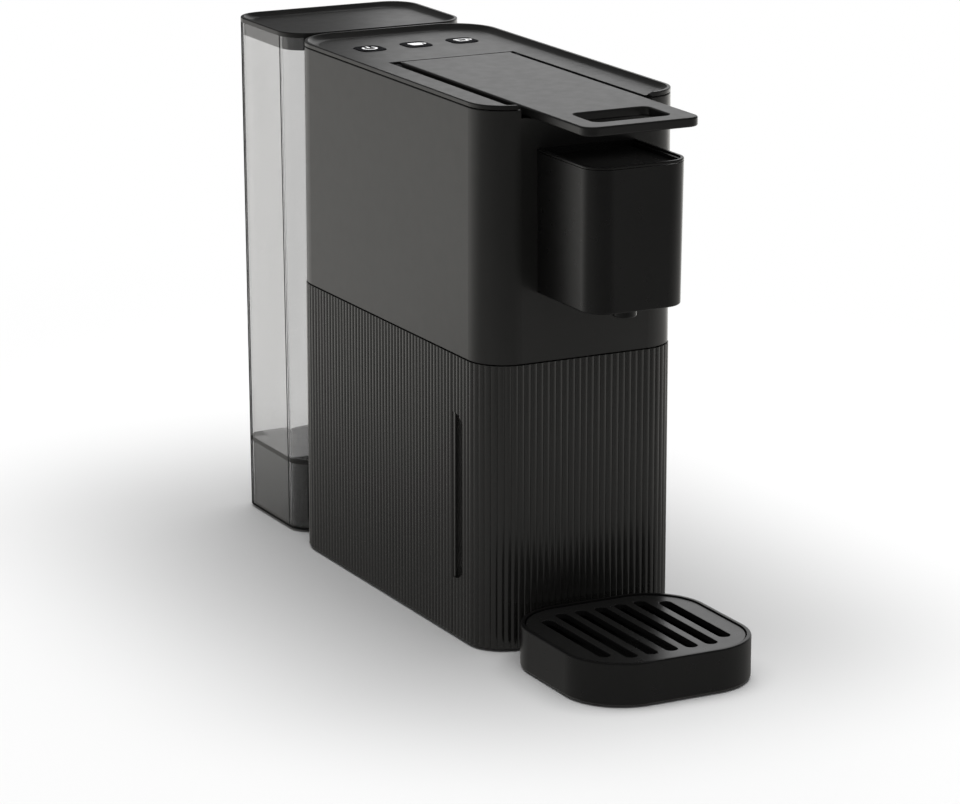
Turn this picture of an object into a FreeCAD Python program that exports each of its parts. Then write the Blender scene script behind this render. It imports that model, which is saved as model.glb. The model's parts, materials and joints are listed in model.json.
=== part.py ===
import FreeCAD, Part
import math
import os

# Pod coffee machine. Millimetres, +Z up, +X to the right seen from the front, -Y towards the user.
# Depths are measured back from the body's front face, heights up from the shells' lower edge.

# Body
body_width = 102.1
body_depth = 210.0
body_height = 255.0
front_corner = 18.1
rear_corner = 24.0
wall = 2.6
foot_height = 1.5
upper_height = 119.7
edge_round = 0.5
seam_gap = 0.4
slide_gap = 0.3
fit_gap = 0.15
pin_gap = 0.05

# Reeds round the lower body
reed_pitch = 3.25
reed_height = 0.6

# Drawer with its finger scoops
drawer_depth = 33.9
scoop_low = 28.0
scoop_drop = 27.6
scoop_width = 12.0
scoop_sink = 1.8
scoop_hollow = 0.5
scoop_lip = 1.75
scoop_lip_drop = 0.5
scoop_end = 9.0
scoop_pad = 3.8
scoop_margin = 5.0
tongue_half = 18.0
tongue_low = 3.0
tongue_high = 7.0

# Used pod bin
bin_gap = 0.65
bin_rear_gap = 3.4
bin_headroom = 23.3
bin_wall = 1.8
bin_corner = 16.0

# Top cover
rim_width = 1.6
panel_sink = 2.4
cove_width = 5.5
panel_thickness = 2.5
cover_band = 2.0
notch_round = 2.0
ledge_width = 3.0
ledge_height = 4.0

# Lever and its hinge
lever_width = 59.0
lever_thickness = 4.3
lever_reach = 53.0
lever_proud = 0.7
lever_corner = 6.5
lever_edge = 0.8
lever_slot = 4.0
window_half = 19.5
window_length = 23.5
window_margin = 10.0
window_corner = 4.0
hinge_back = 80.5
barrel_radius = 5.0
hinge_pin_radius = 1.5
lever_swing = 80.0

# Drive between the lever and the pod cage
drive_radius = 26.4
drive_pin_radius = 2.5
drive_slack = 0.75
cheek_thickness = 4.0
cheek_half_width = 4.0
cheek_inset = 1.0

# Lever well and pod chute
well_floor = 2.0
well_sink = 10.1
well_wall = 3.0
well_rear = 20.0
chute_half = 19.5
chute_front = 38.5
chute_length = 33.0
chute_drop = 3.5
chute_wall = 1.6

# Brew group
brew_axis_drop = 50.0
cage_half = 23.5
cage_half_height = 20.0
cage_corner = 9.0
cage_front = 37.5
cage_length = 38.0
cage_pocket_radius = 16.0
cage_front_wall = 6.0
cage_arm_thickness = 4.0
cage_arm_low = 9.0
cage_arm_high = 31.0
cage_arm_tail = 6.0
nozzle_radius = 4.0
nozzle_bore = 2.4
nozzle_length = 13.0
nozzle_drop = 14.0
plate_thickness = 2.0
frame_plate = 3.5
frame_end = 106.0
frame_rail = 2.7
bridge_length = 20.0
bridge_rise = 21.0
injector_radius = 15.0
injector_thickness = 4.0
needle_length = 5.0
needle_radius = 1.2
needle_tip = 0.3
needle_circle = 8.0
seal_width = 3.5

# Brew head
head_half = 25.4
head_reach = 51.7
head_drop = 20.5
head_height = 66.8
head_corner = 11.0
head_draft = 0.5
head_wall = 2.2
head_opening_half = 22.5
head_lintel = 5.5
cap_band = 1.2
cap_rim = 1.5
cap_sink = 3.0
cap_plug = 4.0
cap_floor = 1.5
spout_inset = 15.7
spout_length = 5.4
spout_radius = 5.5
spout_bore = 3.0
funnel_half = 14.0
funnel_height = 12.0
funnel_wall = 1.6
funnel_rear = 30.0

# Buttons and control board
button_size = 14.0
button_corner = 4.0
button_pitch = 25.0
button_lead = 42.8
button_proud = 0.3
button_gap = 0.25
button_travel = 1.2
button_flange = 17.0
button_flange_thickness = 1.5
button_stem = 4.0
board_half = 40.0
board_lead = 17.3
board_length = 40.0
board_thickness = 1.6
board_drop = 9.1
board_screw_radius = 1.25
switch_size = 6.2
switch_height = 3.5
nub_height = 0.7
nub_radius = 1.7
boss_radius = 3.0
boss_inset = 4.0

# Water tank, lid and pedestal
tank_gap = 2.7
lid_inset = 2.05
lid_depth = 70.5
lid_corner = 15.0
lid_band = 2.4
lid_sink = 2.2
lid_floor = 1.6
plug_drop = 6.5
plug_wall = 1.6
tank_top_inset = 0.5
tank_draft = 2.2
tank_wall = 2.0
tank_corner = 10.0
tank_top_corner = 13.0
tank_floor = 2.5
tank_floor_height = 34.0
skirt_gap = 0.5
door_half = 32.0
door_height = 28.0
cord_door_half = 12.0
neck_half = 28.0
neck_height = 24.0
pedestal_wall = 2.5
socket_radius = 11.0
socket_depth = 11.0
socket_floor = 2.5
outlet_radius = 6.9
outlet_flange = 10.0
outlet_drop = 7.0
outlet_bore = 2.5
outlet_rim = 1.5
seal_lap = 2.4
seal_height = 6.0

# Drip tray and grille
tray_reach = 94.6
tray_inset = 4.95
tray_rear = 3.0
tray_corner = 28.0
tray_height = 19.3
tray_clearance = 1.0
tray_wall = 2.0
tray_floor = 2.0
tray_edge = 0.8
grille_thickness = 2.5
grille_sink = 0.6
grille_gap = 0.6
grille_ledge = 2.5
slot_count = 7
slot_pitch = 10.3
slot_width = 6.0
slot_margin = 10.5
outer_slot_margin = 16.5

# Base and feet
base_low = 0.8
base_thickness = 2.5
rail_half = 34.0
rail_width = 4.0
foot_radius = 6.0
foot_inset = 36.0
foot_front = 16.0
foot_back = 14.0
foot_tank_back = 17.2
foot_tank_inset = 32.0
boss_lead = 9.0
boss_back = 32.0
shell_boss_radius = 4.6
shell_boss_root = 1.0
shell_boss_height = 37.0
base_screw_radius = 1.5
base_screw_head = 2.8
base_screw_head_height = 1.6
base_screw_length = 12.0

# Inner chassis and what it carries
chassis_gap = 2.45
bulkhead_gap = 29.0
chassis_wall = 2.5
bulkhead_drop = 33.0
shelf_drop = 1.3
shelf_half = 40.0
shelf_length = 86.0
leg_width = 4.0
inlet_run = 25.0
pump_half = 18.0
pump_low = 34.0
pump_headroom = 22.0
pump_body_radius = 12.0
pump_coil_margin = 18.0
pump_coil_start = 14.0
pump_stub = 8.0
stub_radius = 3.0
stub_bore = 1.8
hose_wall = 1.4
mount_width = 8.0
mount_gap = 12.0
meter_gap = 6.4
meter_radius = 13.0
meter_height = 16.5
hose_height = 8.0
heater_lead = 32.0
heater_length = 68.0
heater_half = 24.0
heater_gap = 7.0
heater_height = 32.0
heater_corner = 6.0
heater_foot_radius = 3.5
heater_foot_inset = 8.0
cutout_radius = 8.0
cutout_height = 7.0
cutout_offset = 22.0
tab_side = 4.0
tab_thickness = 0.8
tab_half = 3.1
tab_height = 7.0
hot_hose_radius = 3.0
hot_hose_bore = 1.6
supply_side = -32.0
supply_lead = 38.0
supply_length = 70.0
supply_headroom = 28.0
# Each block on the power board: place along and up the board, then its length, height and thickness
supply_blocks = {
    "relay": (6.0, 20.0, 18.0, 16.0, 9.0),
    "transformer": (30.0, 60.0, 24.0, 24.0, 10.0),
    "capacitor": (10.0, 60.0, 12.0, 18.0, 8.0),
    "terminals": (34.0, 10.0, 30.0, 10.0, 8.0),
}
gland_side = 22.0
gland_height = 14.0
gland_radius = 6.0
gland_flange = 8.5
gland_flange_thickness = 2.0
gland_length = 10.0
cord_bore = 3.5

# Worked out from the sizes above
half_width = body_width / 2
lid_half = half_width - lid_inset
tray_half = half_width - tray_inset
bin_half = half_width - wall - scoop_pad - bin_gap
chassis_half = half_width - wall - chassis_gap
lower_height = body_height - upper_height
scoop_high = lower_height - scoop_drop
bin_height = lower_height - bin_headroom
shelf_height = lower_height - shelf_drop
pump_height = shelf_height - pump_low - pump_headroom
pump_coil_height = pump_height - pump_coil_start - pump_coil_margin
supply_height = shelf_height - supply_headroom
brew_axis_height = body_height - brew_axis_drop
bulkhead_height = brew_axis_height - bulkhead_drop
head_high = body_height - head_drop
head_low = head_high - head_height
head_opening_high = head_high - head_lintel
spout_tip = head_low - spout_length
spout_depth = head_reach - spout_inset
pivot_depth = body_depth - hinge_back
button_depth = pivot_depth + button_lead
board_front = button_depth - board_lead
meter_depth = body_depth - wall - meter_radius - meter_gap
pump_depth = meter_depth - meter_radius - inlet_run
heater_front = pump_depth - heater_lead
cutout_depth = pump_depth + cutout_offset
supply_front = pump_depth - supply_lead
bulkhead_depth = pump_depth - pump_half - bulkhead_gap
bin_length = bulkhead_depth - wall - bin_rear_gap
boss_front = bulkhead_depth + boss_lead
boss_rear = body_depth - boss_back
foot_rear = body_depth - foot_back
rear_reach = body_depth + tank_gap + lid_depth
foot_tank = rear_reach - foot_tank_back
front = (tray_reach - rear_reach) / 2
base = foot_height
seam_z = base + lower_height
rim_z = base + body_height
panel_z = rim_z - panel_sink
panel_low = panel_z - panel_thickness
band_z = rim_z - cover_band
shell_top = band_z - seam_gap
lever_top = panel_z + lever_proud
lever_low = lever_top - lever_thickness
lever_half = lever_width / 2
slot_half = lever_half + lever_slot
pivot_y = front + pivot_depth
pivot_z = lever_top - barrel_radius
swing_half = math.radians(lever_swing / 2)
cage_travel = 2 * drive_radius * math.sin(swing_half)
drive_y = pivot_y + drive_radius * math.sin(swing_half)
drive_z = pivot_z - drive_radius * math.cos(swing_half)
well_top = panel_z - well_sink
well_low = well_top - well_floor
cage_y = front + cage_front
cage_rear = cage_y + cage_length
brew_z = base + brew_axis_height
hose_z = base + hose_height
base_top = base + base_low + base_thickness
bin_low = base_top + 2 * slide_gap
hose_bore = stub_radius + pin_gap
hose_radius = stub_radius + hose_wall
tank_z = rim_z - lid_band
floor_z = base + tank_floor_height
lid_front = front + body_depth + tank_gap
lid_rear = lid_front + lid_depth
tank_half = lid_half - tank_top_inset
outlet_y = (lid_front + lid_rear) / 2
boss_side = half_width - wall - shell_boss_radius + shell_boss_root


def box(x0, x1, y0, y1, z0, z1):
    return Part.makeBox(x1 - x0, y1 - y0, z1 - z0, FreeCAD.Vector(x0, y0, z0))


def rod_x(x0, x1, y, z, radius):
    return Part.makeCylinder(radius, x1 - x0, FreeCAD.Vector(x0, y, z), FreeCAD.Vector(1, 0, 0))


def rod_y(x, y0, y1, z, radius):
    return Part.makeCylinder(radius, y1 - y0, FreeCAD.Vector(x, y0, z), FreeCAD.Vector(0, 1, 0))


def rod_z(x, y, z0, z1, radius):
    return Part.makeCylinder(radius, z1 - z0, FreeCAD.Vector(x, y, z0))


def both_sides(shape):
    # The shape and its mirror image across the centre plane.
    return [shape, shape.mirror(FreeCAD.Vector(0, 0, 0), FreeCAD.Vector(1, 0, 0))]


def fuse(first, others):
    return first.multiFuse(others).removeSplitter()


def line(a, b):
    return Part.LineSegment(a, b).toShape()


def arc(a, middle, b):
    return Part.Arc(a, middle, b).toShape()


def corner_edges(x, y, z, radius, start):
    # A quarter circle about (x, y), counter-clockwise from the start angle in degrees, or a sharp corner.
    points = []
    for turn in (0, 45, 90):
        angle = math.radians(start + turn)
        points.append(FreeCAD.Vector(x + radius * math.cos(angle), y + radius * math.sin(angle), z))
    edges = [arc(*points)] if radius > 0 else []
    return points[0], edges, points[2]


def outline(half, y0, y1, front_radius, rear_radius, z):
    # A rounded rectangle in plan, with its own corner radius at the front and at the rear.
    corners = [
        corner_edges(half - rear_radius, y1 - rear_radius, z, rear_radius, 0),
        corner_edges(-half + rear_radius, y1 - rear_radius, z, rear_radius, 90),
        corner_edges(-half + front_radius, y0 + front_radius, z, front_radius, 180),
        corner_edges(half - front_radius, y0 + front_radius, z, front_radius, 270),
    ]
    edges = []
    for index, corner in enumerate(corners):
        following = corners[(index + 1) % 4]
        edges += corner[1]
        edges.append(line(corner[2], following[0]))
    return Part.Wire(edges)


def slab(half, y0, y1, front_radius, rear_radius, z0, z1):
    face = Part.Face(outline(half, y0, y1, front_radius, rear_radius, z0))
    return face.extrude(FreeCAD.Vector(0, 0, z1 - z0))


def body_slab(inset, z0, z1):
    # The body's plan, drawn in by the inset.
    return slab(
        half_width - inset,
        front + inset,
        front + body_depth - inset,
        front_corner - inset,
        rear_corner - inset,
        z0,
        z1,
    )


def cove_cutter(half, y0, y1, front_radius, rear_radius, top, sink, rim, width):
    # Sinks a panel below a rim, with a hollow curve that rises to the rim's inner edge.
    radius = (width ** 2 + sink ** 2) / (2 * sink)
    inset = rim + width - radius
    low = top - sink
    cutter = slab(
        half - inset, y0 + inset, y1 - inset, front_radius - inset, rear_radius - inset, low, low + 2 * radius
    )
    edges = [edge for edge in cutter.Edges if edge.BoundBox.ZMax < low + pin_gap]
    return cutter.makeFillet(radius, edges)


def level_edges(shape, z):
    return [e for e in shape.Edges if abs(e.BoundBox.ZMin - z) < 0.001 and abs(e.BoundBox.ZMax - z) < 0.001]


def hose(points, outer, bore):
    # A tube along straight runs joined by tangent arcs.
    edges = []
    start = points[0]
    for before, corner, after in zip(points, points[1:], points[2:]):
        back = (before - corner).normalize()
        ahead = (after - corner).normalize()
        bend = 0.45 * min(before.distanceToPoint(corner), after.distanceToPoint(corner))
        first = corner + back * bend
        last = corner + ahead * bend
        opening = back.getAngle(ahead) / 2
        radius = bend * math.tan(opening)
        inward = (back + ahead).normalize()
        centre = corner + inward * (bend / math.cos(opening))
        edges.append(line(start, first))
        edges.append(arc(first, centre - inward * radius, last))
        start = last
    edges.append(line(start, points[-1]))
    path = Part.Wire(edges)
    heading = points[1] - points[0]
    tubes = []
    for radius in (outer, bore):
        circle = Part.Wire(Part.makeCircle(radius, points[0], heading))
        tubes.append(path.makePipeShell([circle], True, False))
    return tubes[0].cut(tubes[1])


def reed_point(distance, open_y, closed_y, corner, lift):
    # A point along the reeded wall: up the right side, round the closed end and back down the left.
    sign = 1 if closed_y > open_y else -1
    side = abs(closed_y - open_y) - corner
    bend = corner * math.pi / 2
    across = body_width - 2 * corner
    turn_y = closed_y - sign * corner
    if distance < side:
        return FreeCAD.Vector(half_width + lift, open_y + sign * distance, 0)
    distance -= side
    if distance < bend:
        angle = distance / corner
        reach = corner + lift
        x = half_width - corner + reach * math.cos(angle)
        return FreeCAD.Vector(x, turn_y + sign * reach * math.sin(angle), 0)
    distance -= bend
    if distance < across:
        return FreeCAD.Vector(half_width - corner - distance, closed_y + sign * lift, 0)
    distance -= across
    if distance < bend:
        angle = math.pi / 2 + distance / corner
        reach = corner + lift
        x = -half_width + corner + reach * math.cos(angle)
        return FreeCAD.Vector(x, turn_y + sign * reach * math.sin(angle), 0)
    distance -= bend
    return FreeCAD.Vector(-half_width - lift, turn_y - sign * distance, 0)


def reeded_shell(open_y, closed_y, corner, z0, z1):
    # A U-shaped wall with half-round reeds outside and a plain inner face.
    length = 2 * (abs(closed_y - open_y) - corner) + math.pi * corner + body_width - 2 * corner
    count = round(length / reed_pitch)
    pitch = length / count
    groove = -reed_height / 2
    crest = reed_height / 2
    edges = []
    for index in range(count):
        a = reed_point(index * pitch, open_y, closed_y, corner, groove)
        b = reed_point((index + 0.5) * pitch, open_y, closed_y, corner, crest)
        c = reed_point((index + 1) * pitch, open_y, closed_y, corner, groove)
        edges.append(arc(a, b, c))
    right = edges[0].firstVertex().Point
    left = edges[-1].lastVertex().Point
    outer = Part.Face(Part.Wire(edges + [line(left, right)]))
    prism = outer.extrude(FreeCAD.Vector(0, 0, z1 - z0))
    prism.translate(FreeCAD.Vector(0, 0, z0))
    sign = 1 if closed_y > open_y else -1
    far = open_y - sign * wall
    low = min(far, closed_y - sign * wall)
    high = max(far, closed_y - sign * wall)
    inner = corner - wall
    front_radius = inner if sign < 0 else 0
    rear_radius = inner if sign > 0 else 0
    return prism.cut(slab(half_width - wall, low, high, front_radius, rear_radius, z0, z1))


def rounded_pad(cx, cy, size, corner, z0, z1):
    pad = slab(size / 2, cy - size / 2, cy + size / 2, corner, corner, z0, z1)
    pad.translate(FreeCAD.Vector(cx, 0, 0))
    return pad


# Base plate, with a tongue under the tank
def make_base_plate():
    inset = wall + seam_gap
    low = base + base_low
    plate = body_slab(inset, low, base_top)
    pedestal_y0, pedestal_y1, pedestal_half = pedestal_plan()
    tongue = box(-neck_half, neck_half, front + body_depth - 2 * inset, pedestal_y0 + inset, low, base_top)
    corner = tank_corner - tank_wall
    block = slab(pedestal_half, pedestal_y0, pedestal_y1, corner, corner, low, base_top)
    rails = both_sides(
        box(
            rail_half - rail_width,
            rail_half,
            front + 2 * inset,
            front + bulkhead_depth - inset,
            base_top,
            base_top + slide_gap,
        )
    )
    plate = fuse(plate, [tongue, block] + rails)
    for x, y in boss_places():
        plate = plate.cut(rod_z(x, y, low, base_top, base_screw_radius + pin_gap))
        plate = plate.cut(rod_z(x, y, low, low + base_screw_head_height, base_screw_head + pin_gap))
    return plate


def pedestal_plan():
    # Front, rear and half width of the block inside the tank's skirt.
    inset = tank_wall + skirt_gap
    y0 = lid_front + tank_top_inset + tank_draft + inset
    y1 = lid_rear - tank_top_inset - tank_draft - inset
    return y0, y1, tank_half - tank_draft - inset


def boss_places():
    return [(side * boss_side, front + depth) for depth in (boss_front, boss_rear) for side in (-1, 1)]


def make_feet():
    places = [(foot_inset, foot_front), (foot_inset, foot_rear), (foot_tank_inset, foot_tank)]
    feet = []
    for x, depth in places:
        feet += both_sides(rod_z(x, front + depth, 0, base + base_low, foot_radius))
    return Part.makeCompound(feet)


def make_base_screws():
    low = base + base_low
    screws = []
    for x, y in boss_places():
        head = rod_z(x, y, low, low + base_screw_head_height, base_screw_head)
        shank = rod_z(x, y, low, low + base_screw_length, base_screw_radius)
        screws.append(head.fuse(shank).removeSplitter())
    return Part.makeCompound(screws)


# Lower shells
def make_rear_lower_shell():
    open_y = front + drawer_depth + seam_gap
    back = front + body_depth
    shell = reeded_shell(open_y, back, rear_corner, base, seam_z - seam_gap)
    flange = box(
        half_width - wall - scoop_pad,
        half_width - wall / 2,
        open_y,
        open_y + wall,
        base + scoop_low - scoop_margin,
        base + scoop_high + scoop_margin,
    )
    posts = [rod_z(x, y, base_top, base_top + shell_boss_height, shell_boss_radius) for x, y in boss_places()]
    shell = fuse(shell, both_sides(flange) + posts)
    for x, y in boss_places():
        pilot_top = base + base_low + base_screw_length
        shell = shell.cut(rod_z(x, y, base_top, pilot_top, base_screw_radius + pin_gap))
    tongue = neck_half + seam_gap
    shell = shell.cut(box(-tongue, tongue, back - 2 * wall, back + wall, base, base_top + seam_gap))
    return shell.cut(rod_y(0, back - 2 * wall, back + wall, hose_z, hose_radius + seam_gap))


def scoop_cutter():
    # Hollow that deepens towards a low lip at the drawer's rear edge, with rounded upper and lower ends.
    side = half_width + reed_height
    rear = front + drawer_depth + seam_gap
    start = rear - scoop_width
    lip = front + drawer_depth - scoop_lip
    floor = half_width - scoop_sink
    low = base + scoop_low
    high = base + scoop_high
    p0 = FreeCAD.Vector(side, start, low)
    p1 = FreeCAD.Vector(floor, lip, low)
    middle = FreeCAD.Vector((side + floor) / 2 - scoop_hollow, (start + lip) / 2, low)
    p2 = FreeCAD.Vector(half_width - scoop_lip_drop, lip, low)
    p3 = FreeCAD.Vector(half_width - scoop_lip_drop, rear, low)
    p4 = FreeCAD.Vector(side, rear, low)
    sides = [line(p1, p2), line(p2, p3), line(p3, p4), line(p4, p0)]
    plan = Part.Face(Part.Wire([arc(p0, middle, p1)] + sides))
    hollow = plan.extrude(FreeCAD.Vector(0, 0, high - low))
    ends = slab(scoop_width, low, high, scoop_end, scoop_end, 0, side)
    ends.rotate(FreeCAD.Vector(0, 0, 0), FreeCAD.Vector(1, 1, 1), 120)
    ends.translate(FreeCAD.Vector(0, rear, 0))
    return hollow.common(ends)


def make_drawer_front():
    rear = front + drawer_depth
    shell = reeded_shell(rear, front, front_corner, base, seam_z - seam_gap)
    pad = box(
        half_width - wall - scoop_pad,
        half_width - wall / 2,
        rear - scoop_width - wall,
        rear,
        base + scoop_low - scoop_margin,
        base + scoop_high + scoop_margin,
    )
    shell = fuse(shell, both_sides(pad))
    for cutter in both_sides(scoop_cutter()):
        shell = shell.cut(cutter)
    half = tongue_half + slide_gap
    low = base + tongue_low - slide_gap
    high = base + tongue_high + slide_gap
    return shell.cut(box(-half, half, front - wall, front + wall, low, high))


def make_capsule_bin():
    y0 = front + wall
    y1 = y0 + bin_length
    outer = slab(bin_half, y0, y1, bin_corner, bin_wall * 2, bin_low, bin_low + bin_height)
    inner = slab(
        bin_half - bin_wall,
        y0 + bin_wall,
        y1 - bin_wall,
        bin_corner - bin_wall,
        bin_wall,
        bin_low + bin_wall,
        bin_low + bin_height,
    )
    return outer.cut(inner)


# Upper housing and top
def make_upper_shell():
    shell = body_slab(0, seam_z, shell_top)
    shell = shell.makeFillet(edge_round, level_edges(shell, seam_z) + level_edges(shell, shell_top))
    shell = shell.cut(body_slab(wall, seam_z, shell_top))
    lip_out = wall + slide_gap
    lip_low = seam_z - ledge_height
    lip = body_slab(lip_out, lip_low, seam_z + ledge_height)
    lip = lip.cut(body_slab(lip_out + bin_wall, lip_low, seam_z + ledge_height))
    joint = body_slab(wall / 2, seam_z, seam_z + wall)
    joint = joint.cut(body_slab(lip_out + bin_wall, seam_z, seam_z + wall))
    ledge = body_slab(wall / 2, panel_low - ledge_height, panel_low)
    ledge = ledge.cut(body_slab(wall + ledge_width, panel_low - ledge_height, panel_low))
    shell = fuse(shell, [lip, joint, ledge])
    deep = front + wall + ledge_width + 2 * seam_gap
    shell = shell.cut(box(-slot_half, slot_half, front - wall, deep, lever_low - 2 * slide_gap, rim_z))
    well = slot_half + well_wall + fit_gap
    shell = shell.cut(box(-well, well, front + wall, deep, well_low - slide_gap, rim_z))
    low = base + head_low + head_wall
    high = base + head_opening_high
    half = head_opening_half
    return shell.cut(box(-half, half, front - wall, front + 2 * wall, low, high))


def button_places():
    return [(index * button_pitch, front + button_depth) for index in (-1, 0, 1)]


def board_posts():
    y0 = front + board_front + boss_inset
    y1 = front + board_front + board_length - boss_inset
    return [(side * (board_half - boss_inset), y) for y in (y0, y1) for side in (-1, 1)]


def make_top_cover():
    band = body_slab(0, band_z, rim_z)
    band = band.makeFillet(edge_round, level_edges(band, rim_z))
    plug = body_slab(wall + fit_gap, panel_low, band_z)
    posts = [rod_z(x, y, panel_low - board_drop, panel_low, boss_radius) for x, y in board_posts()]
    cover = fuse(band, [plug] + posts)
    back = front + body_depth
    hollow = cove_cutter(
        half_width, front, back, front_corner, rear_corner, rim_z, panel_sink, rim_width, cove_width
    )
    cover = cover.cut(hollow)
    slot_end = pivot_y + barrel_radius + slide_gap
    cover = cover.cut(box(-slot_half, slot_half, front - wall, slot_end, panel_low, rim_z))
    horn = box(slot_half, slot_half + notch_round, front - wall, front + wall, rim_z - notch_round, rim_z)
    horn_x = slot_half + notch_round
    horn = horn.cut(rod_y(horn_x, front - wall, front + wall, rim_z - notch_round, notch_round))
    for cutter in both_sides(horn):
        cover = cover.cut(cutter)
    hole_size = button_size + 2 * button_gap
    for x, y in button_places():
        cover = cover.cut(rounded_pad(x, y, hole_size, button_corner + button_gap, panel_low, rim_z))
    for x, y in board_posts():
        cover = cover.cut(rod_z(x, y, panel_low - board_drop, panel_low, board_screw_radius + pin_gap))
    return cover


def make_lever_well():
    x = slot_half + well_wall
    y0 = front + wall + 2 * slide_gap
    y1 = pivot_y + well_rear
    floor = box(-x, x, y0, y1, well_low, well_top)
    walls = both_sides(box(slot_half, x, y0, y1, well_low, panel_low))
    rear = box(-x, x, y1 - well_floor, y1, well_low, panel_low)
    collar_length = lever_half + slide_gap
    collars = both_sides(rod_x(collar_length, slot_half, pivot_y, pivot_z, barrel_radius - cheek_inset))
    chute_y = front + chute_front
    rim = chute_half + chute_wall
    chute_end = chute_y + chute_length
    chute_low = well_low - chute_drop
    chute = box(-rim, rim, chute_y - chute_wall, chute_end + chute_wall, chute_low, well_low)
    well = fuse(floor, walls + [rear, chute] + collars)
    opening = box(-chute_half, chute_half, chute_y, chute_end, chute_low, well_top)
    well = well.cut(opening)
    cheek_out = lever_half - cheek_inset + 2 * slide_gap
    cheek_in = lever_half - cheek_inset - cheek_thickness - 2 * slide_gap
    reach = barrel_radius + cheek_half_width * 2 + slide_gap
    for cutter in both_sides(box(cheek_in, cheek_out, pivot_y - reach, pivot_y + reach, well_low, well_top)):
        well = well.cut(cutter)
    return well.cut(rod_x(-x, x, pivot_y, pivot_z, hinge_pin_radius + pin_gap))


def make_lever_pin():
    x = slot_half + well_wall
    return rod_x(-x, x, pivot_y, pivot_z, hinge_pin_radius)


# Lever
def make_lever():
    y0 = front - lever_reach
    plate = slab(lever_half, y0, pivot_y, lever_corner, 0, lever_low, lever_top)
    window_y = y0 + window_margin
    window = slab(
        window_half, window_y, window_y + window_length, window_corner, window_corner, lever_low, lever_top
    )
    plate = plate.cut(window)
    upper = [e for e in level_edges(plate, lever_top) if e.BoundBox.YMin < pivot_y - barrel_radius]
    lower = [e for e in level_edges(plate, lever_low) if e.BoundBox.YMin < pivot_y - barrel_radius]
    plate = plate.makeFillet(lever_edge, upper + lower)
    barrel = rod_x(-lever_half, lever_half, pivot_y, pivot_z, barrel_radius)
    outer = lever_half - cheek_inset
    along = math.hypot(drive_y - pivot_y, drive_z - pivot_z)
    inner = outer - cheek_thickness
    cheek = box(inner, outer, -cheek_half_width, cheek_half_width, pivot_z - along, pivot_z)
    cheek.translate(FreeCAD.Vector(0, pivot_y, 0))
    cheek.rotate(FreeCAD.Vector(0, pivot_y, pivot_z), FreeCAD.Vector(1, 0, 0), lever_swing / 2)
    end = rod_x(inner, outer, drive_y, drive_z, cheek_half_width)
    lever = fuse(plate, [barrel] + both_sides(cheek) + both_sides(end))
    lever = lever.cut(rod_x(-lever_half, lever_half, drive_y, drive_z, drive_pin_radius + pin_gap))
    return lever.cut(rod_x(-lever_half, lever_half, pivot_y, pivot_z, hinge_pin_radius + pin_gap))


def make_drive_pins():
    outer = lever_half - cheek_inset
    inner = cage_half - cage_arm_thickness + slide_gap
    return Part.makeCompound(both_sides(rod_x(inner, outer, drive_y, drive_z, drive_pin_radius)))


# Brew group
def make_capsule_cage():
    low = brew_z - cage_half_height
    high = brew_z + cage_half_height
    block = box(-cage_half, cage_half, cage_y, cage_rear, low, high)
    long_edges = [e for e in block.Edges if abs(e.BoundBox.YLength - cage_length) < pin_gap]
    block = block.makeFillet(cage_corner, long_edges)
    arm = box(
        cage_half - cage_arm_thickness,
        cage_half,
        cage_rear - cage_length / 2,
        drive_y + drive_pin_radius + cage_arm_tail,
        brew_z + cage_arm_low,
        brew_z + cage_arm_high,
    )
    block = block.multiFuse(both_sides(arm)).removeSplitter()
    nozzle_z = brew_z - nozzle_drop
    nozzle = rod_y(0, cage_y - nozzle_length, cage_y + pin_gap, nozzle_z, nozzle_radius)
    cage = fuse(block, [nozzle])
    cage = cage.cut(rod_y(0, cage_y + cage_front_wall, cage_rear, brew_z, cage_pocket_radius))
    cage = cage.cut(rod_y(0, cage_y - nozzle_length, cage_y + cage_front_wall, nozzle_z, nozzle_bore))
    half = drive_pin_radius + drive_slack
    bottom = pivot_z - drive_radius - half
    inner = cage_half - cage_arm_thickness
    slot = box(inner, cage_half, drive_y - half, drive_y + half, bottom, drive_z + half)
    for cutter in both_sides(slot):
        cage = cage.cut(cutter)
    return cage


def make_outlet_plate():
    y0 = cage_y + cage_front_wall
    plate = rod_y(0, y0, y0 + plate_thickness, brew_z, cage_pocket_radius - pin_gap)
    step = cage_pocket_radius / 3
    holes = []
    for row in (-2, -1, 0, 1, 2):
        for column in (-2, -1, 0, 1, 2):
            if abs(row) + abs(column) < 4:
                z = brew_z + column * step
                holes.append(rod_y(row * step, y0, y0 + plate_thickness, z, needle_radius))
    return plate.cut(Part.makeCompound(holes))


def injector_front():
    return cage_rear + slide_gap


def make_brew_frame():
    inner = cage_half + slide_gap
    outer = inner + frame_plate
    y0 = front + wall
    y1 = front + frame_end
    low = brew_z - cage_half_height
    side = box(inner, outer, y0, y1, low - slide_gap - frame_rail, well_low)
    rail = box(cage_half - cage_arm_thickness, inner, y0, y1, low - slide_gap - frame_rail, low - slide_gap)
    bridge_y = injector_front() + injector_thickness
    arm_low = brew_z + cage_arm_low - slide_gap
    lower = box(-inner, inner, bridge_y, bridge_y + bridge_length, low - slide_gap, arm_low)
    narrow = cage_half - cage_arm_thickness - slide_gap
    upper = box(-narrow, narrow, bridge_y, bridge_y + bridge_length, arm_low, brew_z + bridge_rise)
    frame = fuse(lower, [upper] + both_sides(side) + both_sides(rail))
    rim = chute_half + chute_wall + slide_gap
    chute_y = front + chute_front - chute_wall - slide_gap
    clear = box(-rim, rim, chute_y, chute_y + chute_length, well_low - chute_drop - slide_gap, well_low)
    frame = frame.cut(clear)
    return frame.cut(rod_y(0, bridge_y, bridge_y + bridge_length, brew_z, hot_hose_bore))


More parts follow.
